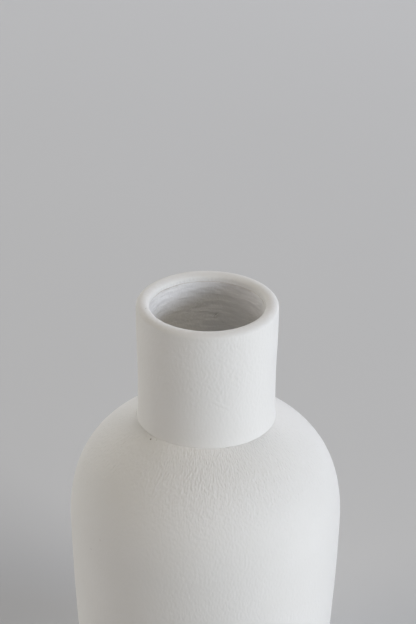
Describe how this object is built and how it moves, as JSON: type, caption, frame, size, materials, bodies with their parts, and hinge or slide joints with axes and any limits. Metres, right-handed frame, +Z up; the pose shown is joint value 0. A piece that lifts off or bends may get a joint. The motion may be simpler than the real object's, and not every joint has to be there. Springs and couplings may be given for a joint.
{
  "type": "ceramic bud vase",
  "caption": "Bottle-shaped ceramic bud vase with a straight open neck, rounded lip, textured matt white coat, glazed inside and a flat foot ring to stand on.",
  "frame": {"origin": "centre of the plane that the foot ring stands on", "axes": "+Z up along the vase's axis of revolution, out of the mouth; +X and +Y are horizontal and equal, because the vase is round"},
  "size_m": [0.1008, 0.1008, 0.17],
  "materials": {
    "fired_clay": "bare fired stoneware, fine matt grain, warm off-white",
    "slip": "fired joining slip and smoothed clay, slightly darker than the body",
    "matt_coat": "matt white vitreous coat with a fine leathery orange-peel relief",
    "inner_glaze": "smooth satin white liner glaze over faint throwing rings"
  },
  "bodies": {
    "root": {"body": "fired_clay", "neck": "fired_clay", "joint_slip": "slip", "seam_coil": "slip", "body_coat": "matt_coat", "neck_coat": "matt_coat", "glaze_liner": "inner_glaze"}
  },
  "joints": []
}
